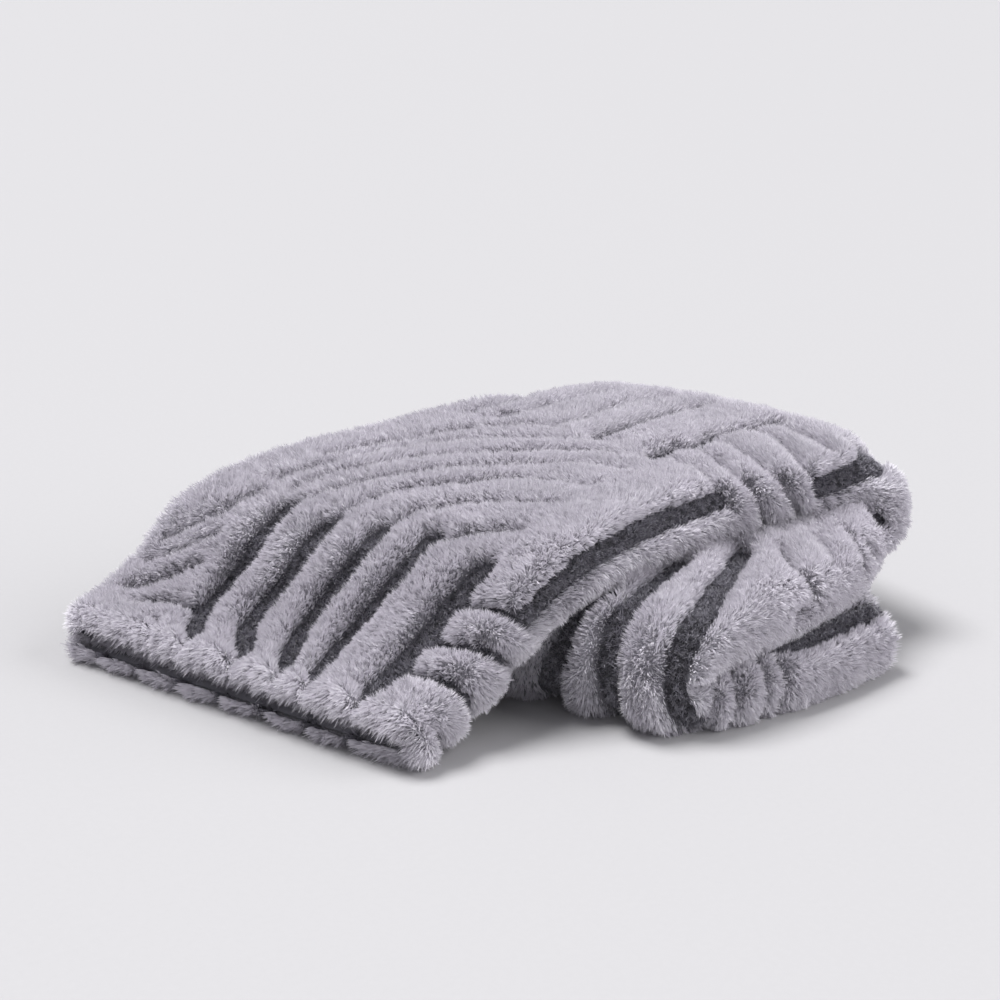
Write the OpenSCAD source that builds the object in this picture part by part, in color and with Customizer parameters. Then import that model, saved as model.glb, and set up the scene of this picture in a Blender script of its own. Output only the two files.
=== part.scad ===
// Folded plush throw blanket.
// The throw is a sculpted plush face cloth sewn to a plain backing cloth. It is folded in four
// across its width, which makes a strip of four plies, and the strip is then folded in three:
// the top section lies over the middle section, and the middle one over the bottom section.
// The free end of the top section slopes down over the left turn to the floor.
// +X runs along the strip, +Y to the back, +Z up. The origin is the bottom centre of the whole.

/* [Folded bundle] */
// Overall length along X
bundle_l = 647; // [530:1:700]
// Overall width along Y
bundle_w = 474; // [400:1:520]
// Overall height
bundle_h = 157; // [140:1:170]
// How far the right turn bows out at mid width
turn_bow = 18; // [0:1:22]
// How far the strip rises at mid width round the right turn
turn_crown = 7; // [0:1:12]
// How deep the weight presses the lowest pile flat against the floor
floor_press = 1.2; // [0:0.1:3]

/* [Cloth] */
// Thickness of the plush face cloth, its knitted base and its pressed pile
face_t = 8; // [5:0.1:8]
// Thickness of the backing cloth
backing_t = 2.2; // [1:0.1:2.2]

/* [Seams] */
// Width of the sewn edge beyond the cloth's cut line
seam_w = 5; // [3:0.5:6]
// Share of the pile's height that the sewn edge fills
seam_fill = 0.6; // [0.3:0.05:0.8]
// Diameter of the sewing thread
thread_d = 0.8; // [0.5:0.1:1.2]
// Length of one closing stitch
stitch_l = 5; // [3:0.5:7]
// Distance from stitch to stitch along the seam
stitch_pitch = 9; // [8:1:14]

/* [Care label] */
// Width of the blank care label
label_w = 32; // [20:1:45]
// Length of the label below its seam
label_l = 38; // [25:1:45]
// Thickness of the folded satin tape
label_t = 0.9; // [0.6:0.1:1.4]

/* [Hidden] */

light_grey = [0.70, 0.69, 0.74];
lining_grey = [0.55, 0.54, 0.58];
seam_grey = [0.80, 0.79, 0.82];
label_white = [0.93, 0.93, 0.92];

// ---- Routes of the strip ----
// Each point is [x, y, z, half thickness] on the strip's mid height. The front route follows the
// front fold edge and the back route the back edge. The top section runs from its free end to the
// right turn, the middle one back to the left turn, and the bottom one to its end on the right.
// The routes are drawn at these sizes, and scaled to the driving dimensions
drawn_l = 629;
drawn_w = 474;
drawn_h = 156.25;
height_ratio = (bundle_h + floor_press) / drawn_h;
size_ratio = [(bundle_l - turn_bow) / drawn_l, bundle_w / drawn_w, height_ratio, height_ratio];
function sized(route) = [
    for (p = route) [for (k = [0:3]) p[k] * size_ratio[k]]
];

top_front = sized([
    [-216, -164, 21, 21], [-159, -148, 43, 21], [-117, -141, 72, 21.5], [-75, -139, 101, 21.5],
    [-21, -132, 118, 21.5], [62, -117, 124, 21.5], [157, -117, 127, 21.5], [268, -128, 135, 21.5],
]);
top_back = sized([
    [-318, 208, 21, 21], [-280, 226, 25, 21], [-236, 235, 48, 21.5], [-194, 232, 92, 21.5],
    [-117, 230, 112, 21.5], [-10, 228, 120, 21.5], [133, 225, 129, 21.5], [262, 237, 116, 21.5],
]);
middle_front = sized([
    [265, -150, 88, 20], [195, -192, 81, 20], [109, -217, 77, 20], [21, -229, 72, 21.5],
]);
middle_back = sized([
    [264, 232, 74, 20], [145, 211, 75, 20], [14, 181, 73, 20], [-100, 144, 66, 21.5],
]);
bottom_front = sized([
    [12, -236, 22, 21.5], [74, -236, 25, 25], [139, -231, 28, 28], [214, -216, 30, 30],
]);
bottom_back = sized([
    [-121, 140, 22, 21.5], [-22, 154, 24, 24], [98, 166, 26, 26], [217, 166, 26, 26],
]);

// A point on the smooth curve through the route's points, u from 0 to 1 after point i
function curve_point(p, i, u) =
    let (
        a = p[max(i - 1, 0)],
        b = p[i],
        c = p[i + 1],
        d = p[min(i + 2, len(p) - 1)]
    )
    0.5 * ((2 * b) + (c - a) * u + (2 * a - 5 * b + 4 * c - d) * u * u
        + (3 * b - a - 3 * c + d) * u * u * u);
function curve(p, steps) = concat(
    [for (i = [0:len(p) - 2], k = [0:steps - 1]) curve_point(p, i, k / steps)],
    [p[len(p) - 1]]
);
// The half circle in which the strip turns back on itself, side +1 to the right, -1 to the left
function turn(from, to, side, steps) = [
    for (k = [1:steps - 1])
        let (angle = 180 * k / steps, reach = abs(from[2] - to[2]) / 2)
        (from + to) / 2 + (from - to) / 2 * cos(angle) + [side * reach * sin(angle), 0, 0, 0]
];
function last(p) = p[len(p) - 1];

section_steps = 2;
turn_steps = 8;
function whole_route(top, middle, bottom) = concat(
    curve(top, section_steps), turn(last(top), middle[0], 1, turn_steps),
    curve(middle, section_steps), turn(last(middle), bottom[0], -1, turn_steps),
    curve(bottom, section_steps)
);
front_route = whole_route(top_front, middle_front, bottom_front);
back_route = whole_route(top_back, middle_back, bottom_back);

// Stations where one section of the strip ends and the next begins
top_end = section_steps * (len(top_front) - 1);
middle_start = top_end + turn_steps;
middle_end = middle_start + section_steps * (len(middle_front) - 1);
bottom_start = middle_end + turn_steps;
bottom_end = bottom_start + section_steps * (len(bottom_front) - 1);

// ---- Place of a point in the strip ----
function xyz(p) = [p[0], p[1], p[2]];
function unit(v) = v / norm(v);
// Bow and crown are greatest in the middle of the right turn and fade out over bow_stations
bow_stations = 9;
function bow(i) = 0.5 + 0.5 * cos(180 * min(abs(i - top_end - turn_steps / 2) / bow_stations, 1));
// Brings the middle of the bowed bundle over the origin, and the lowest pile below the floor
centre = [-1.9, -0.5, -floor_press];
function on_strip(i, share) =
    xyz(front_route[i]) * (1 - share) + xyz(back_route[i]) * share + centre
    + [turn_bow, 0, turn_crown] * bow(i) * 4 * share * (1 - share);
function along(i, share) =
    unit(on_strip(min(i + 1, bottom_end), share) - on_strip(max(i - 1, 0), share));
function upward(i, share) =
    unit(cross(along(i, share), xyz(back_route[i]) - xyz(front_route[i])));
function loft(i, share) =
    (front_route[i][3] * (1 - share) + back_route[i][3] * share) / strip_half;

// q is a point of the cloth's path: [share of the width, offset, height, face side across, up].
// Depth is measured from the seam between the two cloths towards the face side. Nothing goes
// below the floor: the pile there is pressed flat.
function strip_point(i, q, depth, slide) =
    let (
        width = norm(xyz(back_route[i]) - xyz(front_route[i])),
        share = q[0] + (q[1] + q[3] * depth) / width,
        height = (q[2] + q[4] * depth) * loft(i, share),
        place = on_strip(i, share) + upward(i, share) * height + along(i, share) * slide
    )
    [place[0], place[1], max(place[2], 0)];

// ---- Path of the cloth across the strip ----
// The four plies are one sheet. From its first edge at the back it runs forward underneath, turns
// up round the front, runs back on top, turns in at the back, and doubles forward and back inside.
strip_half = 21.5;
clearance = 0.25;
outer_h = strip_half - face_t;
inner_h = face_t + clearance * 1.5;
back_turn_h = (outer_h + inner_h) / 2;
back_turn_r = (outer_h - inner_h) / 2;
front_turn_o = strip_half;
back_turn_o = -(strip_half / 2);
edge_o = -seam_w - 1;

function ply(h, from_share, from_o, to_share, to_o, face_up, steps) = [
    for (k = [0:steps])
        let (u = k / steps)
        [from_share + (to_share - from_share) * u, from_o + (to_o - from_o) * u, h, 0, face_up]
];
function bend(share, o, h, r, from, to, facing, steps) = [
    for (k = [1:steps - 1])
        let (a = from + (to - from) * k / steps)
        [share, o + r * cos(a), h + r * sin(a), facing * cos(a), facing * sin(a)]
];
cloth_path = concat(
    ply(-outer_h, 1, edge_o, 0, front_turn_o, -1, 3),
    bend(0, front_turn_o, 0, outer_h, 270, 90, 1, 10),
    ply(outer_h, 0, front_turn_o, 1, back_turn_o, 1, 3),
    bend(1, back_turn_o, back_turn_h, back_turn_r, 90, -90, 1, 6),
    ply(inner_h, 1, back_turn_o, 0, front_turn_o, -1, 3),
    bend(0, front_turn_o, 0, inner_h, 90, 270, -1, 8),
    ply(-inner_h, 0, front_turn_o, 1, edge_o, 1, 3)
);

// ---- Solids ----
// A closed band of cloth: the path, swept over the stations, between two depths
module band(rows, path, low, high) {
    n = len(path);
    m = len(rows);
    // Each row holds the low side's points and then the high side's
    points = [
        for (row = rows, depth = [low, high], q = path) strip_point(row[0], q, depth, row[1])
    ];
    function at(r, side, k) = (r * 2 + side) * n + k;
    faces = concat(
        [for (r = [0:m - 2], k = [0:n - 2], half = [0, 1])
            half == 0 ? [at(r, 0, k), at(r + 1, 0, k), at(r + 1, 0, k + 1)]
                : [at(r, 0, k), at(r + 1, 0, k + 1), at(r, 0, k + 1)]],
        [for (r = [0:m - 2], k = [0:n - 2], half = [0, 1])
            half == 0 ? [at(r, 1, k), at(r + 1, 1, k + 1), at(r + 1, 1, k)]
                : [at(r, 1, k), at(r, 1, k + 1), at(r + 1, 1, k + 1)]],
        [for (k = [0:n - 2], half = [0, 1])
            half == 0 ? [at(0, 0, k), at(0, 0, k + 1), at(0, 1, k + 1)]
                : [at(0, 0, k), at(0, 1, k + 1), at(0, 1, k)]],
        [for (k = [0:n - 2], half = [0, 1])
            half == 0 ? [at(m - 1, 0, k), at(m - 1, 1, k + 1), at(m - 1, 0, k + 1)]
                : [at(m - 1, 0, k), at(m - 1, 1, k), at(m - 1, 1, k + 1)]],
        [for (r = [0:m - 2], half = [0, 1])
            half == 0 ? [at(r, 0, 0), at(r, 1, 0), at(r + 1, 1, 0)]
                : [at(r, 0, 0), at(r + 1, 1, 0), at(r + 1, 0, 0)]],
        [for (r = [0:m - 2], half = [0, 1])
            half == 0 ? [at(r, 0, n - 1), at(r + 1, 1, n - 1), at(r, 1, n - 1)]
                : [at(r, 0, n - 1), at(r + 1, 0, n - 1), at(r + 1, 1, n - 1)]]
    );
    polyhedron(points = points, faces = faces, convexity = 12);
}
function stations(from, to) = [for (i = [from:to]) [i, 0]];

module face_cloth(from, to) {
    color(light_grey) band(stations(from, to), cloth_path, clearance / 2, face_t);
}
module backing_cloth(from, to) {
    color(lining_grey) band(stations(from, to), cloth_path, -backing_t, -clearance / 2);
}

module top_face() {
    face_cloth(0, top_end);
}
module top_backing() {
    backing_cloth(0, top_end);
}
module right_turn_face() {
    face_cloth(top_end, middle_start);
}
module right_turn_backing() {
    backing_cloth(top_end, middle_start);
}
module middle_face() {
    face_cloth(middle_start, middle_end);
}
module middle_backing() {
    backing_cloth(middle_start, middle_end);
}
module left_turn_face() {
    face_cloth(middle_end, bottom_start);
}
module left_turn_backing() {
    backing_cloth(middle_end, bottom_start);
}
module bottom_face() {
    face_cloth(bottom_start, bottom_end);
}
module bottom_backing() {
    backing_cloth(bottom_start, bottom_end);
}

// The sewn edge joins face and backing all round the throw
seam_depth = face_t * seam_fill;
module top_end_seam() {
    color(seam_grey)
        band([[0, -seam_w], [0, -clearance]], cloth_path, -backing_t + clearance, seam_depth);
}
module bottom_end_seam() {
    last_station = bottom_end;
    color(seam_grey)
        band(
            [[last_station, clearance], [last_station, seam_w]],
            cloth_path, -backing_t + clearance, seam_depth
        );
}
// A side edge lies at the strip's back, on the ply at height h
module side_seam(h, face_up) {
    color(seam_grey)
        band(
            stations(0, bottom_end),
            ply(h, 1, edge_o + clearance, 1, edge_o + seam_w, face_up, 1),
            face_up > 0 ? -backing_t + clearance : seam_depth,
            face_up > 0 ? seam_depth : -backing_t + clearance
        );
}
module outer_side_seam() {
    side_seam(-outer_h, -1);
}
module inner_side_seam() {
    side_seam(-inner_h, 1);
}

// The opening that the throw was turned through is closed by a row of hand stitches
module closing_thread() {
    rows = floor(0.6 * bundle_w / stitch_pitch);
    path_share = 0.2;
    share_step = stitch_pitch / bundle_w;
    color(seam_grey)
        for (k = [0:rows - 1]) {
            q = [path_share + k * share_step, 0, outer_h, 0, 1];
            translate(strip_point(0, q, seam_depth + thread_d, -seam_w / 2))
                rotate([90, 0, 0])
                cylinder(h = stitch_l, d = thread_d, center = true, $fn = 16);
        }
}

// The label hangs from the outer edge of the top section, at the back
module care_label() {
    label_station = top_end - 3;
    hang = strip_point(label_station, [1, edge_o + seam_w, -outer_h, 0, -1], 0, 0);
    corner_r = 1.5;
    color(label_white)
        translate(hang + [0, label_t, 0])
        rotate([90, 0, 0])
        linear_extrude(label_t)
        difference() {
            translate([-label_w / 2, -label_l]) square([label_w, label_l]);
            for (side = [-1, 1])
                translate([side * label_w / 2, -label_l])
                difference() {
                    square(2 * corner_r, center = true);
                    translate([-side * corner_r, corner_r]) circle(corner_r, $fn = 24);
                }
        }
}

top_face();
top_backing();
right_turn_face();
right_turn_backing();
middle_face();
middle_backing();
left_turn_face();
left_turn_backing();
bottom_face();
bottom_backing();
top_end_seam();
bottom_end_seam();
outer_side_seam();
inner_side_seam();
closing_thread();
care_label();
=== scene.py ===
"""A folded plush throw blanket: sculpted light pile over dark curled channels."""
import math

import bmesh
import bpy
import numpy as np
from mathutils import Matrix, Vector


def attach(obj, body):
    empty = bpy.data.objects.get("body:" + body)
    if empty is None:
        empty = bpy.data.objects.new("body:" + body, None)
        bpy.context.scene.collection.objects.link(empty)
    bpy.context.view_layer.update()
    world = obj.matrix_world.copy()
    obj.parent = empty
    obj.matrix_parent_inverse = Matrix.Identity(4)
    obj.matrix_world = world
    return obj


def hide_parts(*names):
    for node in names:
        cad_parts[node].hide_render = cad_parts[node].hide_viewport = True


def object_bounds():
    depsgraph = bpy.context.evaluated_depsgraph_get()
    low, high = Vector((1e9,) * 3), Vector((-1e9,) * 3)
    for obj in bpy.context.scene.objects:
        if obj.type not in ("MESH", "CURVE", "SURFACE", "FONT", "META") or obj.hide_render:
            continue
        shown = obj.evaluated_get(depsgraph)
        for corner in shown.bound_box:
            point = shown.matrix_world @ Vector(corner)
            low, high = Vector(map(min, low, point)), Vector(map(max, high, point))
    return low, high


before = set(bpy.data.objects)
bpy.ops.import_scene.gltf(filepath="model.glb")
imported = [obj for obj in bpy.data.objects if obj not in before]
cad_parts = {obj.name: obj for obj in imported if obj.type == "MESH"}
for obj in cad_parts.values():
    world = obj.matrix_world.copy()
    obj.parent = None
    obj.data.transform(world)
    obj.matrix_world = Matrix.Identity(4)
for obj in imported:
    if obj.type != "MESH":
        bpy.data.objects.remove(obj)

cad_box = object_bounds()


# ---- Stage ----
# The blanket lies on a plain pale floor that runs out of sight in every direction. One large
# soft light hangs over it and one stands beside it, and the pale surroundings fill the shadows.
class Value:
    """A shader socket whose operators add Math nodes."""

    def __init__(self, finish, socket):
        self.finish = finish
        self.socket = socket

    def math(self, operation, *others):
        return self.finish.add("ShaderNodeMath", {"operation": operation}, [self, *others])

    def __add__(self, other):
        return self.math("ADD", other)

    def __sub__(self, other):
        return self.math("SUBTRACT", other)

    def __mul__(self, other):
        return self.math("MULTIPLY", other)

    def __rsub__(self, other):
        return self.finish.add("ShaderNodeMath", {"operation": "SUBTRACT"}, [other, self])

    __radd__ = __add__
    __rmul__ = __mul__

    def clipped(self):
        return self.finish.add(
            "ShaderNodeMath", {"operation": "MULTIPLY", "use_clamp": True}, [self, 1.0]
        )


class Finish:
    """One material. add() makes a node from its type, its settings and its sockets."""

    def __init__(self, name, **constants):
        self.material = bpy.data.materials.new(name)
        self.material.use_nodes = True
        self.tree = self.material.node_tree
        self.shader = self.tree.nodes["Principled BSDF"]
        for socket, value in constants.items():
            self.shader.inputs[socket.replace("_", " ")].default_value = value

    def add(self, kind, settings, sockets, output=0):
        node = self.tree.nodes.new(kind)
        for name, value in settings.items():
            setattr(node, name, value)
        pairs = sockets.items() if isinstance(sockets, dict) else enumerate(sockets)
        for place, value in pairs:
            if isinstance(value, Value):
                self.tree.links.new(value.socket, node.inputs[place])
            else:
                node.inputs[place].default_value = value
        return Value(self, node.outputs[output])

    def feed(self, socket, value):
        self.tree.links.new(value.socket, self.shader.inputs[socket])

    def place(self):
        return self.add("ShaderNodeTexCoord", {}, {}, "Object")

    def attribute(self, name):
        return self.add("ShaderNodeAttribute", {"attribute_name": name}, {}, "Fac")

    def noise(self, scale, detail=3.0):
        return self.add(
            "ShaderNodeTexNoise", {},
            {"Vector": self.place(), "Scale": scale, "Detail": detail}, "Fac",
        )

    def blend(self, share, low, high):
        """The colour low where share is 0 and high where it is 1."""
        return self.add(
            "ShaderNodeMix", {"data_type": "RGBA"}, {0: share, 6: low, 7: high}, 2
        )

    def bump(self, height, strength, distance):
        self.feed("Normal", self.add(
            "ShaderNodeBump", {}, {"Height": height, "Strength": strength, "Distance": distance},
        ))


def painted_floor():
    finish = Finish("painted_floor", Roughness=0.75)
    speckle = finish.noise(180.0)
    finish.feed("Base Color", finish.blend(
        speckle, (0.482, 0.475, 0.487, 1), (0.502, 0.495, 0.507, 1)
    ))
    finish.bump(speckle, 0.15, 0.0004)
    return finish.material


def new_piece(name, shape, material):
    """A named object at the origin with the bmesh's shape."""
    mesh = bpy.data.meshes.new(name)
    shape.to_mesh(mesh)
    shape.free()
    mesh.materials.append(material)
    piece = bpy.data.objects.new(name, mesh)
    bpy.context.scene.collection.objects.link(piece)
    return piece


floor_shape = bmesh.new()
bmesh.ops.create_grid(floor_shape, x_segments=8, y_segments=8, size=14.0)
new_piece("floor", floor_shape, painted_floor())

camera_azimuth = math.radians(-35.718)
camera_elevation = math.radians(17.0)
camera_distance = 2.094
camera_target = Vector((0.1089, 0.1913, 0.0655))
toward_camera = Vector((
    math.sin(camera_azimuth) * math.cos(camera_elevation),
    -math.cos(camera_azimuth) * math.cos(camera_elevation),
    math.sin(camera_elevation),
))
camera_data = bpy.data.cameras.new("camera")
camera_data.lens = 80.0
camera_data.sensor_width = 36.0
camera_data.clip_end = 60.0
camera = bpy.data.objects.new("camera", camera_data)
camera.location = camera_target + toward_camera * camera_distance
camera.rotation_euler = toward_camera.to_track_quat("Z", "Y").to_euler()
bpy.context.scene.collection.objects.link(camera)
bpy.context.scene.camera = camera


def soft_light(name, place, spread, strength):
    """A wide light shining from place towards the blanket, as even as a studio's ceiling."""
    light = bpy.data.lights.new(name, "SUN")
    light.angle = math.radians(spread)
    light.energy = strength
    lamp = bpy.data.objects.new(name, light)
    lamp.location = place
    lamp.rotation_euler = Vector(place).to_track_quat("Z", "Y").to_euler()
    bpy.context.scene.collection.objects.link(lamp)


soft_light("ceiling_light", (-0.3, 0.9, 2.6), 30.0, 3.30)
soft_light("side_light", (2.3, -1.9, 1.6), 50.0, 1.75)
surroundings = bpy.data.worlds.new("surroundings")
surroundings.use_nodes = True
surroundings.node_tree.nodes["Background"].inputs["Color"].default_value = (0.95, 0.96, 1.0, 1)
surroundings.node_tree.nodes["Background"].inputs["Strength"].default_value = 0.37
bpy.context.scene.world = surroundings
bpy.context.scene.view_settings.view_transform = "Standard"


# ---- Face cloth ----
# A knitted cloth with a sculpted plush pile, 1.52 by 1.27 m. It is folded in four across, face
# side out, and the strip that this makes is folded in three. Lengths here are in millimetres.
MM = 0.001
floor_press = 1.2
drawn_height = 156.25
height_ratio = (157 + floor_press) / drawn_height


def fold_line(points):
    """Points [x, y, z, half thickness] along one edge of the strip."""
    return np.array(points, float) * [1, 1, height_ratio, height_ratio]


top_front = fold_line([
    [-216, -164, 21, 21], [-159, -148, 43, 21], [-117, -141, 72, 21.5], [-75, -139, 101, 21.5],
    [-21, -132, 118, 21.5], [62, -117, 124, 21.5], [157, -117, 127, 21.5], [268, -128, 135, 21.5],
])
top_back = fold_line([
    [-318, 208, 21, 21], [-280, 226, 25, 21], [-236, 235, 48, 21.5], [-194, 232, 92, 21.5],
    [-117, 230, 112, 21.5], [-10, 228, 120, 21.5], [133, 225, 129, 21.5], [262, 237, 116, 21.5],
])
middle_front = fold_line([
    [265, -150, 88, 20], [195, -192, 81, 20], [109, -217, 77, 20], [21, -229, 72, 21.5],
])
middle_back = fold_line([
    [264, 232, 74, 20], [145, 211, 75, 20], [14, 181, 73, 20], [-100, 144, 66, 21.5],
])
bottom_front = fold_line([
    [12, -236, 22, 21.5], [74, -236, 25, 25], [139, -231, 28, 28], [214, -216, 30, 30],
])
bottom_back = fold_line([
    [-121, 140, 22, 21.5], [-22, 154, 24, 24], [98, 166, 26, 26], [217, 166, 26, 26],
])
span_steps = 16
turn_steps = 32


def curve(points):
    """A smooth curve through the points."""
    out = []
    for k in range(len(points) - 1):
        a = points[max(k - 1, 0)]
        b = points[k]
        c = points[k + 1]
        d = points[min(k + 2, len(points) - 1)]
        for u in np.arange(span_steps) / span_steps:
            bend = (2 * a - 5 * b + 4 * c - d) * u**2 + (3 * b - a - 3 * c + d) * u**3
            out.append(0.5 * (2 * b + (c - a) * u + bend))
    return out + [points[-1]]


def turn(start, end, side):
    """The half circle in which the strip turns back on itself."""
    reach = abs(start[2] - end[2]) / 2
    out = []
    for w in math.pi * np.arange(1, turn_steps) / turn_steps:
        outward = np.array([side * reach * math.sin(w), 0, 0, 0])
        out.append((start + end) / 2 + (start - end) / 2 * math.cos(w) + outward)
    return out


def whole_route(top, middle, bottom):
    right = turn(top[-1], middle[0], 1)
    left = turn(middle[-1], bottom[0], -1)
    return np.array(curve(top) + right + curve(middle) + left + curve(bottom))


front_route = whole_route(top_front, middle_front, bottom_front)
back_route = whole_route(top_back, middle_back, bottom_back)
steps = np.arange(len(front_route))
top_end = span_steps * (len(top_front) - 1)
right_turn_middle = top_end + turn_steps / 2

# The right turn bows out and up at mid width, and the bow fades out along the strip both ways
turn_bow = 18
turn_crown = 7
fade_turn = np.minimum(np.abs(steps - right_turn_middle) / (turn_steps / 2), 1)
fade_strip = np.clip((np.abs(steps - right_turn_middle) - turn_steps / 2) / (span_steps * 2.5), 0, 1)
bow = 0.5 + 0.5 * np.cos(math.pi * (fade_turn * 4 + fade_strip * 5) / 9)


def strip(i, share):
    """A point on the strip's mid height, and the direction across it with its length."""
    low = np.clip(np.floor(i).astype(int), 0, len(steps) - 2)
    u = (i - low)[..., None]
    front = front_route[low] * (1 - u) + front_route[low + 1] * u
    back = back_route[low] * (1 - u) + back_route[low + 1] * u
    bulge = np.interp(i, steps, bow) * 4 * share * (1 - share)
    weight = share[..., None]
    place = (front * (1 - weight) + back * weight)[..., :3] + [-1.9, -0.5, -floor_press]
    place += bulge[..., None] * [turn_bow, 0, turn_crown]
    half = front[..., 3] * (1 - share) + back[..., 3] * share
    return place, (back - front)[..., :3], half


def unit(v):
    return v / np.linalg.norm(v, axis=-1, keepdims=True)


mid_line = strip(steps.astype(float), np.full(len(steps), 0.5))[0]
step_lengths = np.linalg.norm(np.diff(mid_line, axis=0), axis=1)
length_at = np.concatenate([[0], np.cumsum(step_lengths)])
strip_length = length_at[-1]

# Heights of the plies' seam lines above and below the strip's mid height
strip_half = 21.5
face_t = 8
outer_h = strip_half - face_t
inner_h = face_t + 0.375
back_turn_h = (outer_h + inner_h) / 2
back_turn_r = (outer_h - inner_h) / 2
front_girth = math.pi * strip_half
back_girth = math.pi * (back_turn_r + face_t / 2)
inner_girth = math.pi * inner_h
back_turn_o = strip_half / 2
edge_o = 6


def landmarks(width):
    """Where each part of the cloth's way across ends, s = 0 at the top of the front fold."""
    first_edge = -front_girth - (width - edge_o - strip_half)
    back_turn = width - back_turn_o - strip_half
    inner_ply = back_turn + back_girth
    inner_turn = inner_ply + back_turn
    last_ply = inner_turn + inner_girth
    last_edge = last_ply + width - edge_o - strip_half
    return first_edge, back_turn, inner_ply, inner_turn, last_ply, last_edge


def width_at(b):
    i = np.interp(b, length_at, steps)
    return np.linalg.norm(strip(i, np.full_like(i, 0.5))[1], axis=-1)


def cloth(b, s, depth):
    """Place, outward direction and direction along, b mm along the strip and s mm across it."""
    b, s, depth = (np.array(v) for v in np.broadcast_arrays(b * 1.0, s * 1.0, depth * 1.0))
    inside = np.clip(b, 0, strip_length)
    i = np.interp(inside, length_at, steps)
    width = width_at(inside)
    _, back_turn, inner_ply, inner_turn, last_ply, _ = landmarks(width)
    front_angle = -s / strip_half
    back_angle = (s - back_turn) / (back_girth / math.pi)
    inner_angle = (s - inner_turn) / inner_h
    zones = [s < -front_girth, s < 0, s < back_turn, s < inner_ply, s < inner_turn, s < last_ply]
    outer_r = outer_h + depth
    back_r = back_turn_r + depth
    inner_r = inner_h - depth
    offset = np.select(zones, [
        strip_half - s - front_girth,
        strip_half - outer_r * np.sin(front_angle),
        strip_half + s,
        width - back_turn_o + back_r * np.sin(back_angle),
        width - back_turn_o - (s - inner_ply),
        strip_half - inner_r * np.sin(inner_angle),
    ], strip_half + s - last_ply)
    height = np.select(zones, [
        -outer_r,
        outer_r * np.cos(front_angle),
        outer_r,
        back_turn_h + back_r * np.cos(back_angle),
        inner_r,
        inner_r * np.cos(inner_angle),
    ], -inner_r)
    face_across = np.select(zones, [
        0 * s, -np.sin(front_angle), 0 * s, np.sin(back_angle), 0 * s, np.sin(inner_angle),
    ], 0 * s)
    face_up = np.select(zones, [
        0 * s - 1, np.cos(front_angle), 0 * s + 1, np.cos(back_angle), 0 * s - 1,
        -np.cos(inner_angle),
    ], 0 * s + 1)
    share = offset / width
    place, across, half = strip(i, share)
    ahead = strip(np.minimum(i + 0.5, steps[-1]), share)[0]
    behind = strip(np.maximum(i - 0.5, 0), share)[0]
    along = unit(ahead - behind)
    upward = unit(np.cross(along, across))
    # The plies don't end in line: the inner ones lie back from the two outer ones
    under = 3 * np.clip(-s / front_girth, 0, 1) - 3 * np.clip((-front_girth - s) / 60, 0, 1)
    set_back = np.select(zones, [under, under, 0 * s, 0 * s, 14 + 0 * s, 14 + 0 * s], 14 + 0 * s)
    beyond = (b - inside + set_back * np.clip(1 - inside / 60, 0, 1))[..., None]
    place = place + upward * (height * half / strip_half)[..., None] + along * beyond
    place[..., 2] = np.maximum(place[..., 2], 0)
    outward = unit(unit(across) * face_across[..., None] + upward * face_up[..., None])
    return place, outward, along


# The sculpted pattern. The pile is cut to ribs, and between them run dark channels down to the
# curled ground, or narrow partings. A groove is its width and its points [b, s]. Outside the
# part that shows, the ribs follow one repeating wave.
top_channels = [
    (20, [[-15, 222], [15, 232], [40, 248], [70, 256], [175, 258]]),
    (22, [[-15, 160], [20, 178], [50, 198], [80, 204], [165, 204]]),
    (20, [[-15, 115], [15, 128], [55, 147], [90, 152], [170, 152]]),
    (19, [[-15, 80], [15, 97], [60, 103], [175, 103]]),
    (25, [[-15, 36], [152, 35]]),
    (9, [[62, 347], [85, 322], [115, 300]]),
    (12, [[42, 318], [55, 298], [60, 262]]),
    (6, [[-15, 262], [18, 278]]),
    (7, [[168, 95], [185, 75], [197, 52], [205, 38]]),
    (17, [[413, 72], [425, 84], [470, 84], [500, 95], [570, 98]]),
    (19, [[425, 155], [465, 166], [510, 180], [565, 190]]),
    (8, [[410, 203], [440, 204], [480, 220], [520, 234], [570, 240]]),
    (9, [[405, 258], [430, 256], [460, 268], [510, 282], [545, 300]]),
    (6, [[395, 290], [430, 292], [480, 315], [540, 340]]),
    (20, [[520, -32], [560, -28], [585, -20]]),
    (20, [[582, -20], [592, 14]]),
    (19, [[128, -29], [360, -22], [397, -19]]),
    (9, [[0, 40], [0, -10], [8, -30], [15, -50]]),
    (8, [[40, 40], [40, 10], [45, -20], [48, -50]]),
    (8, [[80, 30], [78, 5], [85, -20], [95, -50]]),
    (8, [[118, 30], [120, 0], [124, -28]]),
]
middle_channels = [
    (22, [[844, -122], [910, -96], [974, -68], [1000, -56], [1028, -53], [1046, -53]]),
    (21, [[900, -146], [950, -133], [984, -122], [1016, -115], [1028, -114], [1048, -118]]),
    (17, [[985, -150], [1004, -154], [1020, -157], [1034, -166], [1050, -182]]),
    (7, [[817, -97], [857, -62], [855, -37]]),
    (5, [[768, -81], [802, -52]]),
    (6, [[733, -63], [751, -36]]),
    (5, [[722, -49], [705, -34]]),
    (6, [[889, -30], [867, -32]]),
]
bottom_channels = [
    (20, [[1150, 0], [1182, -6], [1228, -8], [1280, -8], [1325, -8]]),
]
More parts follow.
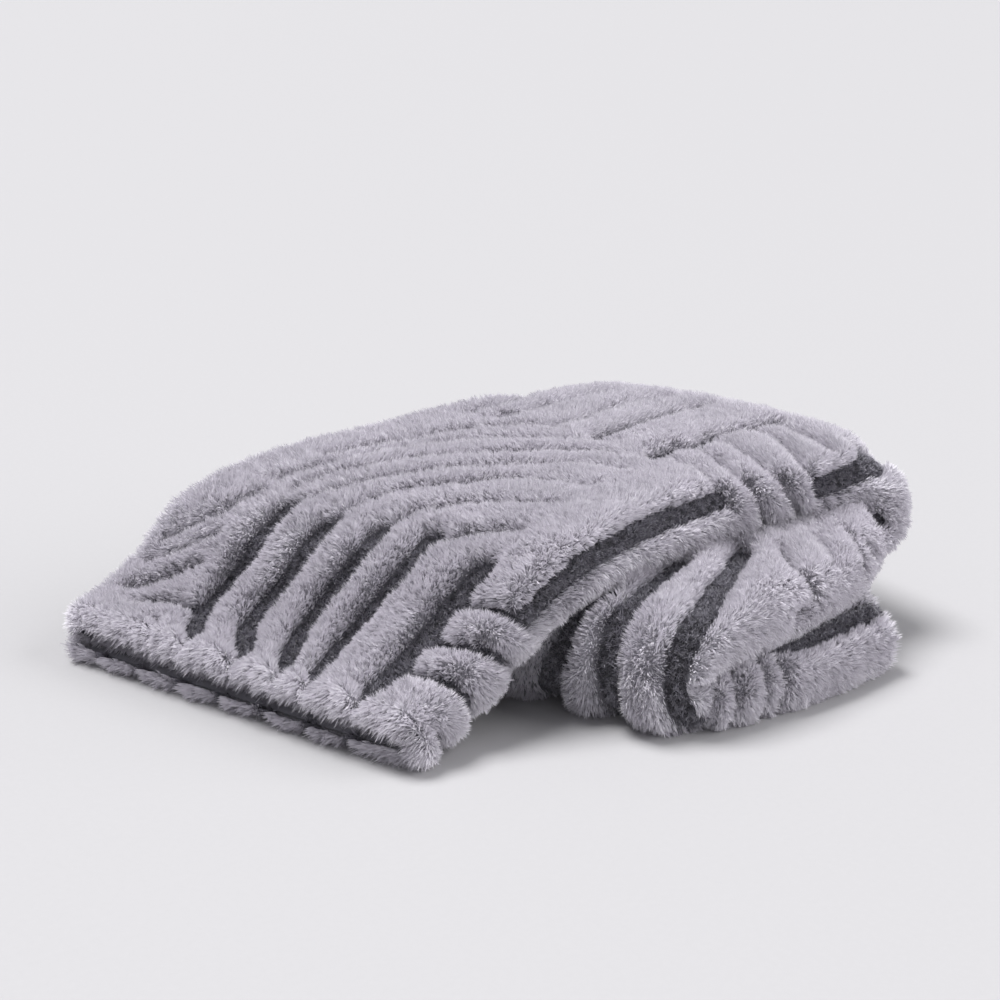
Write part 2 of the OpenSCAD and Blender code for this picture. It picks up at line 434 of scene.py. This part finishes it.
partings = [
    (3, [[103, 355], [130, 325], [145, 300]]),
    (3, [[135, 350], [160, 310], [185, 295]]),
    (6, [[170, 150], [200, 140], [225, 110], [240, 90], [250, 60], [256, 45]]),
    (6, [[168, 204], [205, 194], [232, 172], [260, 142], [290, 112], [304, 75], [308, 52]]),
    (6, [[175, 258], [200, 240], [225, 222], [270, 190], [300, 158], [320, 138], [350, 108],
         [362, 75], [365, 62]]),
    (6, [[195, 275], [235, 258], [275, 235], [310, 205], [335, 178], [360, 150], [385, 120],
         [400, 85], [405, 65]]),
    (5, [[200, 300], [250, 282], [305, 255], [345, 228], [375, 195], [395, 165], [415, 130]]),
    (3, [[250, 305], [325, 270], [370, 248], [405, 215]]),
    (7, [[455, 70], [455, 40], [440, 15], [432, -5], [440, -25], [455, -50]]),
    (7, [[480, 78], [487, 55], [480, 15], [470, -5], [480, -28], [495, -50]]),
    (7, [[535, 85], [535, 50], [520, 15], [508, -8], [512, -30]]),
    (7, [[565, 80], [560, 40], [550, 0]]),
    (2, [[418, 60], [412, 20], [400, -5], [402, -20]]),
    (7, [[1041, -4], [1030, -27], [1031, -56]]),
    (7, [[1074, 2], [1051, -25], [1059, -57]]),
    (7, [[1106, 4], [1081, -24], [1078, -46]]),
    (7, [[1128, -2], [1120, -24], [1117, -47]]),
    (6, [[1147, -8], [1147, -25], [1140, -43]]),
]
map_b0, map_s0 = -24, -470
b_lines = np.arange(map_b0, 1340)
s_lines = np.arange(map_s0, 1160)
map_b, map_s = np.meshgrid(b_lines.astype(float), s_lines.astype(float))


def patch(b0, b1, s0, s1, fade=22):
    """1 inside a rectangle of the cloth, fading to 0 outside it."""
    gap_b = np.maximum(np.maximum(b0 - map_b, map_b - b1), 0)
    gap_s = np.maximum(np.maximum(s0 - map_s, map_s - s1), 0)
    return np.clip(1 - np.hypot(gap_b, gap_s) / fade, 0, 1)


def groove_gap(grooves):
    """Distance from every cell of the map to the nearest groove's edge, negative inside it."""
    gap = np.full(map_b.shape, 60.0)
    for width, points in grooves:
        for (b0, s0), (b1, s1) in zip(points, points[1:]):
            rows = slice(max(int(min(s0, s1) - 45 - map_s0), 0), int(max(s0, s1) + 45 - map_s0))
            columns = slice(max(int(min(b0, b1) - 45 - map_b0), 0), int(max(b0, b1) + 45 - map_b0))
            b = map_b[rows, columns] - b0
            s = map_s[rows, columns] - s0
            run = (b1 - b0) ** 2 + (s1 - s0) ** 2
            u = np.clip((b * (b1 - b0) + s * (s1 - s0)) / run, 0, 1)
            distance = np.hypot(b - u * (b1 - b0), s - u * (s1 - s0)) - width / 2
            gap[rows, columns] = np.minimum(gap[rows, columns], distance)
    return gap


def waves(b, s, cell, seed):
    """Smooth random values from -1 to 1 that change over about cell mm."""
    table = np.random.default_rng(seed).uniform(-1, 1, (256, 256))
    x = b / cell + 40
    y = s / cell + 160
    x0 = np.floor(x).astype(int)
    y0 = np.floor(y).astype(int)
    u = x - x0
    v = y - y0
    u = u * u * (3 - 2 * u)
    v = v * v * (3 - 2 * v)
    low = table[x0 % 256, y0 % 256] * (1 - u) + table[(x0 + 1) % 256, y0 % 256] * u
    high = table[x0 % 256, (y0 + 1) % 256] * (1 - u) + table[(x0 + 1) % 256, (y0 + 1) % 256] * u
    return low * (1 - v) + high * v


shown = np.maximum(np.maximum(
    patch(-24, 610, -72, 360), patch(690, 1062, -205, 8)), patch(1024, 1320, -58, 8))
rib_pitch = 47
across_wave = map_s + 20 * np.sin(map_b / 58) + 5 * waves(map_b, map_s, 60, 3)
repeat = np.abs((across_wave / rib_pitch) % 1 - 0.5) * rib_pitch
repeat_width = 11 + 7 * np.sin(map_b / 90 + map_s / 400)
# The free end's edge has no channels: light fur runs all along it
free_end_band = 15
band = np.where(map_s > -90, np.clip(free_end_band - map_b, 0, 30) * 0.8, 0)
ragged = 1.1 * waves(map_b, map_s, 4, 4) + 1.2 * waves(map_b, map_s, 11, 5)
overhang = 1.8  # how far the ribs' fibres reach over a channel on each side
channel_gap = np.minimum(
    groove_gap(top_channels + middle_channels + bottom_channels),
    repeat - repeat_width / 2 + 40 * shown,
) + ragged - overhang + band
parting_gap = np.minimum(groove_gap(partings), repeat - 1.5 + 40 * shown) + ragged * 0.5 - 2


def shoulder(gap, radius):
    """Height of a rounded rib, 0 at the groove's edge and 1 at radius from it."""
    return np.sqrt(1 - (1 - np.clip(gap / radius, 0, 1)) ** 2)


rib_map = np.minimum(shoulder(channel_gap, 13), 0.10 + 0.90 * shoulder(parting_gap, 12))
slope_s_map, slope_b_map = np.gradient(rib_map)
map_names = {"rib": rib_map, "gap": channel_gap, "slope_b": slope_b_map, "slope_s": slope_s_map}


def pattern(name, b, s):
    """The map's value at b, s."""
    values = map_names[name]
    x = np.clip(b - map_b0, 0, values.shape[1] - 1.001)
    y = np.clip(s - map_s0, 0, values.shape[0] - 1.001)
    x0 = x.astype(int)
    y0 = y.astype(int)
    u = x - x0
    v = y - y0
    low = values[y0, x0] * (1 - u) + values[y0, x0 + 1] * u
    high = values[y0 + 1, x0] * (1 - u) + values[y0 + 1, x0 + 1] * u
    return low * (1 - v) + high * v


def edge_gap(b, s):
    """Distance to the cut edge of the throw, negative in the seam beyond it."""
    marks = landmarks(width_at(np.clip(b, 0, strip_length)))
    ends = np.minimum(b, strip_length - b)
    sides = np.minimum(s - marks[0], marks[5] - s)
    return np.minimum(ends, sides)


def inner(b, s):
    """True on the two plies inside the strip."""
    return s > landmarks(width_at(np.clip(b, 0, strip_length)))[2]


rib_relief = 11.5  # how much higher the ground stands under a rib than in a channel


def ground_depth(b, s):
    """Height of the sculpted ground over the seam line."""
    rim = shoulder(edge_gap(b, s) + 4, 12)
    rib = pattern("rib", b, s)
    return np.where(inner(b, s), 1.0 + 5.5 * rib, 1.2 + rib_relief * rib) * rim


def sheet_shape(depth_at, zone_columns, row_pitch):
    """A grid moved to the folded cloth, with its rows along b and its columns across."""
    rows = int(strip_length / row_pitch)
    b = np.linspace(0, strip_length, rows + 1)
    marks = landmarks(width_at(b))
    stops = [marks[0], 0 * b - front_girth, 0 * b, *marks[1:]]
    columns = [
        stops[k][:, None] + (stops[k + 1] - stops[k])[:, None] * np.arange(count) / count
        for k, count in enumerate(zone_columns)
    ]
    s = np.concatenate(columns + [stops[-1][:, None]], axis=1)
    b = np.broadcast_to(b[:, None], s.shape)
    place = cloth(b, s, depth_at(b, s))[0] * MM
    shape = bmesh.new()
    bmesh.ops.create_grid(
        shape, x_segments=s.shape[1] - 1, y_segments=s.shape[0] - 1, size=1.0
    )
    for vertex, point in zip(shape.verts, place.reshape(-1, 3).tolist()):
        vertex.co = point
    bmesh.ops.reverse_faces(shape, faces=shape.faces)
    for face in shape.faces:
        face.smooth = True
    return shape, b, s


def add_values(piece, name, values):
    """A number for every vertex, which the finish reads."""
    layer = piece.data.attributes.new(name, "FLOAT", "POINT")
    layer.data.foreach_set("value", np.ascontiguousarray(values, dtype=np.float32).ravel())


# Root colours are painted darker than the tips as the shade deep in the pile; the charcoal root is
# painted down to near black
light_root_shaded = (0.700, 0.678, 0.732, 1)
light_tip = (0.965, 0.936, 0.990, 1)
dark_root_shaded = (0.028, 0.027, 0.034, 1)
dark_tip = (0.440, 0.425, 0.480, 1)


def plush_ground():
    """The ground between the fibres: grey under the ribs and charcoal curls in the channels, both
    painted darker as the shade deep in the pile.
    """
    finish = Finish("plush_ground", Roughness=0.95, Sheen_Weight=0.2, Sheen_Roughness=0.5)
    curls = finish.noise(420.0, 4.0)
    # Painted shade: under a rib the ground is a darker grey than the fibres' roots
    under_rib_shade = finish.blend(curls, (0.360, 0.350, 0.385, 1), (0.560, 0.545, 0.590, 1))
    in_channel = finish.blend(curls, dark_root_shaded, (0.130, 0.127, 0.145, 1))
    finish.feed("Base Color", finish.blend(finish.attribute("rib"), in_channel, under_rib_shade))
    finish.bump(curls, 0.9, 0.0015)
    return finish.material


face_shape, face_b, face_s = sheet_shape(ground_depth, (64, 16, 84, 7, 22, 8, 22), 4.4)
throw_face = new_piece("throw_face", face_shape, plush_ground())
add_values(throw_face, "rib", np.clip(pattern("gap", face_b, face_s) / 3, 0, 1))
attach(throw_face, "root")
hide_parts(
    "top_face", "right_turn_face", "middle_face", "left_turn_face", "bottom_face"
)


# ---- Light pile ----
# Long silky fibres on the ribs. They stand in small tufts, lean out over the channels beside
# them, and lie flat where the folded sections press on each other.
def scatter(b0, b1, low, high, density, rng):
    """Random points [b, s] between two lines across, each a landmark's number and an offset."""
    def line(b, mark):
        marks = landmarks(width_at(np.clip(b, 0, strip_length)))
        return mark[1] + (0 if mark[0] is None else marks[mark[0]])
    middle = np.array([(b0 + b1) / 2])
    span = float(np.max(line(middle, high) - line(middle, low)))
    count = int((b1 - b0) * span * density)
    b = rng.uniform(b0, b1, count)
    s = line(b, low) + (line(b, high) - line(b, low)) * rng.random(count)
    return b, s


# Stretches of the cloth that show: (from b, to b, low line, high line, fibres per square mm)
front_low = (None, -76)
back_turn_line = (1, 0)
past_back = (2, 6)
first_edge = (0, -5)
last_edge = (5, 5)
top_section_end = float(length_at[top_end])
middle_begin = float(length_at[top_end + turn_steps])
middle_end = float(length_at[top_end + turn_steps + span_steps * 3])
bottom_begin = float(length_at[top_end + turn_steps * 2 + span_steps * 3])
stretches = [
    (-5, 12, first_edge, last_edge, 2.2),
    (12, 26, first_edge, last_edge, 1.5),
    (26, top_section_end, front_low, back_turn_line, 1.75),
    (26, top_section_end, back_turn_line, past_back, 1.2),
    (26, 190, (None, -120), front_low, 0.6),
    (top_section_end, middle_begin, (0, -5), front_low, 1.1),
    (top_section_end, middle_begin, front_low, past_back, 1.5),
    (middle_begin, middle_end, (None, -175), (None, 10), 1.75),
    (middle_begin, middle_end, (1, -30), past_back, 1.1),
    (middle_end, bottom_begin, (None, -240), (None, 10), 1.75),
    (middle_end, bottom_begin, (1, -30), past_back, 1.1),
    (bottom_begin, strip_length - 26, (None, -72), (None, 10), 1.75),
    (bottom_begin, strip_length - 26, (1, -30), past_back, 1.1),
    (strip_length - 26, strip_length + 5, first_edge, last_edge, 1.2),
    (26, strip_length - 26, first_edge, (0, 26), 1.0),
]


def nearest_tuft(b, s, pitch, seed):
    """The middle of the tuft that each fibre belongs to, and a random number for the tuft."""
    jitter = np.random.default_rng(seed).random((3, 256, 512))
    best = np.full(b.shape, 1e9)
    out = [b.copy(), s.copy(), b * 0]
    column = np.floor(b / pitch).astype(int)
    row = np.floor(s / pitch).astype(int)
    for dc in (-1, 0, 1):
        for dr in (-1, 0, 1):
            c = column + dc
            r = row + dr
            middle_b = (c + jitter[0, c % 256, r % 512]) * pitch
            middle_s = (r + jitter[1, c % 256, r % 512]) * pitch
            distance = (middle_b - b) ** 2 + (middle_s - s) ** 2
            near = distance < best
            best = np.where(near, distance, best)
            out[0] = np.where(near, middle_b, out[0])
            out[1] = np.where(near, middle_s, out[1])
            out[2] = np.where(near, jitter[2, c % 256, r % 512], out[2])
    return out


def fibre_mesh(name, root, middle, tip, half_width, tone, material):
    """Flat tapered fibres: two corners at the root, one at the bend and one at the tip."""
    count = len(root)
    corners = np.stack([
        root - half_width, root + half_width, middle + half_width * 0.7, tip,
    ], axis=1) * MM
    corners[..., 2] = np.clip(corners[..., 2], 0.0002, fur_top)
    mesh = bpy.data.meshes.new(name)
    mesh.vertices.add(count * 4)
    mesh.vertices.foreach_set("co", corners.ravel())
    mesh.loops.add(count * 6)
    first = (np.arange(count) * 4)[:, None]
    mesh.loops.foreach_set("vertex_index", (first + np.array([0, 1, 2, 0, 2, 3])).ravel())
    mesh.polygons.add(count * 2)
    mesh.polygons.foreach_set("loop_start", np.arange(count * 2) * 3)
    mesh.polygons.foreach_set("use_smooth", np.ones(count * 2, bool))
    mesh.update(calc_edges=True)
    mesh.validate()
    mesh.materials.append(material)
    piece = bpy.data.objects.new(name, mesh)
    bpy.context.scene.collection.objects.link(piece)
    # 0 at the root, where the colour is painted darkest as shade, to 1 at the tip
    add_values(piece, "up_the_fibre", np.tile([0, 0, 0.55, 1], count))
    add_values(piece, "tone", np.repeat(tone, 4))
    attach(piece, "root")
    return piece


fur_proud = 0.0138
fur_top = cad_box[1][2] + fur_proud  # no fibre stands higher than this


def grow(name, b, s, dark, material, rng):
    """The fibres of one stretch, light ones on ribs or short dark curls in channels."""
    count = len(b)
    rib = pattern("rib", b, s)
    place, outward, along = cloth(b, s, np.maximum(ground_depth(b, s) - 0.6, 0.2))
    across = np.cross(outward, along)
    pitch = 2.6 if dark else 4.6
    tuft_b, tuft_s, tuft = nearest_tuft(b, s, pitch, 11 if dark else 12)
    other = (tuft * 7.31) % 1
    gap = edge_gap(b, s)
    rim = np.clip(1 - (gap + 5) / 12, 0, 1)
    to_end = np.where(b < strip_length / 2, -1.0, 1.0) * (
        np.minimum(b, strip_length - b) < gap + 0.01)
    to_side = np.where(s > 500, 1.0, -1.0) * (to_end == 0)
    slope_b = pattern("slope_b", b, s)
    slope_s = pattern("slope_s", b, s)
    slope = np.hypot(slope_b, slope_s) + 1e-6
    if dark:
        long = rng.uniform(3.0, 5.2, count) * (0.7 + 0.6 * other)
        lean_b = rng.normal(0, 0.7, count)
        lean_s = rng.normal(0, 0.7, count)
        clump = 0.8
        half = rng.uniform(0.42, 0.68, count)
        tone = np.clip(1.5 * other - 0.4 + rng.uniform(-0.15, 0.2, count), 0, 1)
    else:
        long = (5.4 + 3.0 * rib) * rng.uniform(0.75, 1.15, count) * (0.85 + 0.3 * other)
        long = np.where(inner(b, s), long * 0.7, long)
        lay_b = 0.30 * waves(b, s, 45, 21) + 0.20 * waves(b, s, 12, 22) + 0.22 * (tuft - 0.5)
        lay_s = 0.30 * waves(b, s, 45, 23) + 0.20 * waves(b, s, 12, 24) + 0.22 * (other - 0.5)
        lean_b = lay_b + rng.normal(0, 0.16, count)
        lean_s = lay_s + rng.normal(0, 0.16, count)
        push = np.minimum(slope * 8, 0.8) / slope
        lean_b -= slope_b * push
        lean_s -= slope_s * push
        clump = 0.4
        half = rng.uniform(0.26, 0.44, count)
        tone = np.clip(0.4 * tuft + rng.uniform(0, 0.6, count) + 0.15 * waves(b, s, 60, 25), 0, 1)
    # Along the edges the fibres fan out; those of the lowest ply curl up round its edge
    curl_up = (s < -front_girth) & (b < 60)
    fan = rng.uniform(-0.8, 0.9, count) - 1.1 * curl_up
    at_edge = np.clip(rim * 1.7, 0, 1)
    long = long * (1 + (0.35 + 0.45 * curl_up) * at_edge)
    lean_b += to_end * at_edge * 1.6
    lean_s += to_side * at_edge * 1.6
    stand = 1 - at_edge + fan * at_edge
    drop = np.array([0, 0, -0.05 if dark else -0.16])
    pull_b = (tuft_b - b) * clump
    pull_s = (tuft_s - s) * clump
    heading = unit(
        outward * stand[:, None] + along * lean_b[:, None] * 0.6 + across * lean_s[:, None] * 0.6)
    middle = place + heading * (long * 0.55)[:, None]
    middle += along * (pull_b * 0.35)[:, None] + across * (pull_s * 0.35)[:, None]
    bent = unit(outward * (stand * 0.8)[:, None] + along * (lean_b * 1.3)[:, None]
                + across * (lean_s * 1.3)[:, None] + drop)
    tip = middle + bent * (long * 0.5)[:, None]
    tip += along * (pull_b * 0.65)[:, None] + across * (pull_s * 0.65)[:, None]
    flat_side = unit(np.cross(tip - place, rng.normal(size=(count, 3))))
    return fibre_mesh(name, place, middle, tip, flat_side * half[:, None], tone, material)


def pile_finish(name, root, tip, mottle, by_tuft):
    """Fibres painted darker at the root as the shade deep in the pile, with every tuft a tone of its
    own.
    """
    finish = Finish(name, Roughness=0.72, Sheen_Weight=0.35, Sheen_Roughness=0.4)
    share = finish.attribute("up_the_fibre") * (1 - by_tuft) + finish.attribute("tone") * by_tuft
    # random lighter and darker patches laid over the painted root shade and the tufts' tones
    shaded_and_mottled = share - finish.noise(14.0) * mottle + mottle / 2
    finish.feed("Base Color", finish.blend(shaded_and_mottled.clipped(), root, tip))
    return finish.material


rng = np.random.default_rng(315)
points = [scatter(*stretch, rng) for stretch in stretches]
all_b = np.concatenate([p[0] for p in points])
all_s = np.concatenate([p[1] for p in points])
in_channel = pattern("gap", all_b, all_s) < 0.3
on_rib = ~in_channel
# light fibres painted darker towards the root as the shade deep in the pile
light_finish = pile_finish("light_pile", light_root_shaded, light_tip, 0.25, 0.38)
middle_parting = 850
slices = [
    ("pile_top_end", -6, 26), ("pile_top_left", 26, 135), ("pile_top_middle", 135, 245),
    ("pile_top_crown", 245, 350), ("pile_top_right", 350, 450),
    ("pile_top_far", 450, top_section_end),
    ("pile_right_turn", top_section_end, middle_begin),
    ("pile_middle_right", middle_begin, middle_parting),
    ("pile_middle_left", middle_parting, middle_end),
    ("pile_left_turn", middle_end, bottom_begin), ("pile_bottom", bottom_begin, 1400),
]
for name, b0, b1 in slices:
    chosen = on_rib & (all_b >= b0) & (all_b < b1)
    grow(name, all_b[chosen], all_s[chosen], False, light_finish, rng)


# ---- Dark channel pile ----
# Short curled fibres in the channels, charcoal with paler loops and painted near-black shade at the
# roots, broader than the ribs' fibres.
dark_finish = pile_finish("dark_pile", dark_root_shaded, dark_tip, 0.2, 0.6)
dark_slices = [
    ("curls_top_left", -6, 280), ("curls_top_right", 280, top_section_end),
    ("curls_middle", top_section_end, middle_end), ("curls_bottom", middle_end, 1400),
]
dark_rng = np.random.default_rng(316)
curl_share = 1.1  # curls for each fibre that a rib would have there
points = [scatter(*stretch[:4], curl_share * stretch[4], dark_rng) for stretch in stretches]
dark_b = np.concatenate([p[0] for p in points])
dark_s = np.concatenate([p[1] for p in points])
keep = (pattern("gap", dark_b, dark_s) < 0.6) & ~inner(dark_b, dark_s)
for name, b0, b1 in dark_slices:
    chosen = keep & (dark_b >= b0) & (dark_b < b1)
    grow(name, dark_b[chosen], dark_s[chosen], True, dark_finish, dark_rng)


# ---- Backing ----
# A plain knitted lining sewn to the face cloth all round. It lies between the plies of the
# strip and shows only as a line along the edges.
backing_t = 1.6


def lining_knit():
    finish = Finish("lining_knit", Roughness=0.9, Sheen_Weight=0.3)
    rows = finish.add(
        "ShaderNodeTexWave", {"wave_type": "BANDS"},
        {"Vector": finish.place(), "Scale": 260.0, "Distortion": 3.0}, "Fac",
    )
    shade = rows * 0.5 + finish.noise(60.0) * 0.5
    finish.feed("Base Color", finish.blend(
        shade, (0.200, 0.195, 0.225, 1), (0.330, 0.322, 0.360, 1)
    ))
    finish.bump(rows, 0.5, 0.0006)
    return finish.material


lining_shape, _, _ = sheet_shape(lambda b, s: 0 * s - 0.4, (24, 10, 24, 6, 24, 8, 24), 12.0)
throw_backing = new_piece("throw_backing", lining_shape, lining_knit())
thickness = throw_backing.modifiers.new("thickness", "SOLIDIFY")
thickness.thickness = backing_t * MM
thickness.offset = -1.0
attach(throw_backing, "root")
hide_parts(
    "top_backing", "right_turn_backing", "middle_backing", "left_turn_backing", "bottom_backing",
)


# ---- Sewn edges ----
# Face and backing are sewn together and turned, which leaves a full rolled edge on the two ends
# and the two sides of the throw.
roll_r = 1.4
roll_sides = 8


def edge_finish():
    finish = Finish("rolled_edge", Roughness=0.9, Sheen_Weight=0.3)
    nap = finish.noise(300.0)
    finish.feed("Base Color", finish.blend(
        nap, (0.200, 0.196, 0.215, 1), (0.340, 0.332, 0.360, 1)
    ))
    finish.bump(nap, 0.8, 0.0012)
    return finish.material


def roll(name, b, s, node):
    """A round roll along the points b, s of the cut edge."""
    core, outward, along = cloth(b, s, np.full(b.shape, 1.2))
    lengthwise = unit(np.gradient(core, axis=0))
    sideways = unit(np.cross(lengthwise, outward))
    shape = bmesh.new()
    bmesh.ops.create_grid(shape, x_segments=roll_sides, y_segments=len(b) - 1, size=1.0)
    angles = 2 * math.pi * np.arange(roll_sides + 1) / roll_sides
    rings = (
        core[:, None] + outward[:, None] * roll_r * np.cos(angles)[None, :, None]
        + sideways[:, None] * roll_r * np.sin(angles)[None, :, None]
    )
    rings[..., 2] = np.maximum(rings[..., 2], 0)
    for vertex, point in zip(shape.verts, (rings * MM).reshape(-1, 3).tolist()):
        vertex.co = point
    bmesh.ops.remove_doubles(shape, verts=shape.verts, dist=1e-6)
    bmesh.ops.holes_fill(shape, edges=[e for e in shape.edges if e.is_boundary])
    bmesh.ops.recalc_face_normals(shape, faces=shape.faces)
    for face in shape.faces:
        face.smooth = True
    piece = new_piece(name, shape, rolled_edge)
    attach(piece, "root")
    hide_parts(node)
    return piece


rolled_edge = edge_finish()
end_marks = landmarks(width_at(np.array([0.0])))
across_line = np.linspace(float(end_marks[0][0]), float(end_marks[5][0]), 420)
top_end_roll = roll("top_end_roll", across_line * 0 - 0.6, across_line, "top_end_seam")
end_marks = landmarks(width_at(np.array([strip_length])))
across_line = np.linspace(float(end_marks[0][0]), float(end_marks[5][0]), 420)
bottom_end_roll = roll(
    "bottom_end_roll", across_line * 0 + strip_length + 0.6, across_line, "bottom_end_seam"
)
side_line = np.linspace(0, strip_length, 300)
side_marks = landmarks(width_at(side_line))
outer_side_roll = roll("outer_side_roll", side_line, side_marks[0] - 0.6, "outer_side_seam")
inner_side_roll = roll("inner_side_roll", side_line, side_marks[5] + 0.6, "inner_side_seam")


# ---- Closing stitches and care label ----
# The opening on the top end, through which the throw was turned, is closed by hand with twisted
# thread. A blank satin label is caught in the side seam at the back.
def twisted_thread():
    finish = Finish("twisted_thread", Roughness=0.55, Sheen_Weight=0.2)
    twist = finish.add(
        "ShaderNodeTexWave", {"bands_direction": "DIAGONAL"},
        {"Vector": finish.place(), "Scale": 900.0, "Distortion": 0.5}, "Fac",
    )
    finish.feed("Base Color", finish.blend(
        twist, (0.480, 0.470, 0.510, 1), (0.680, 0.670, 0.710, 1)
    ))
    finish.bump(twist, 0.6, 0.0002)
    return finish.material


def satin_tape():
    finish = Finish("satin_tape", Roughness=0.42, Sheen_Weight=0.4)
    weft = finish.add(
        "ShaderNodeTexWave", {"bands_direction": "Z"},
        {"Vector": finish.place(), "Scale": 700.0, "Distortion": 0.2}, "Fac",
    )
    finish.feed("Base Color", finish.blend(
        weft * 0.6 + finish.noise(90.0) * 0.4, (0.760, 0.755, 0.740, 1), (0.880, 0.875, 0.865, 1)
    ))
    finish.bump(weft, 0.35, 0.0002)
    return finish.material


for node, finish_material in (("closing_thread", twisted_thread()), ("care_label", satin_tape())):
    cad_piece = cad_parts[node]
    for slot in cad_piece.material_slots:
        slot.material = finish_material
    if not cad_piece.material_slots:
        cad_piece.data.materials.append(finish_material)
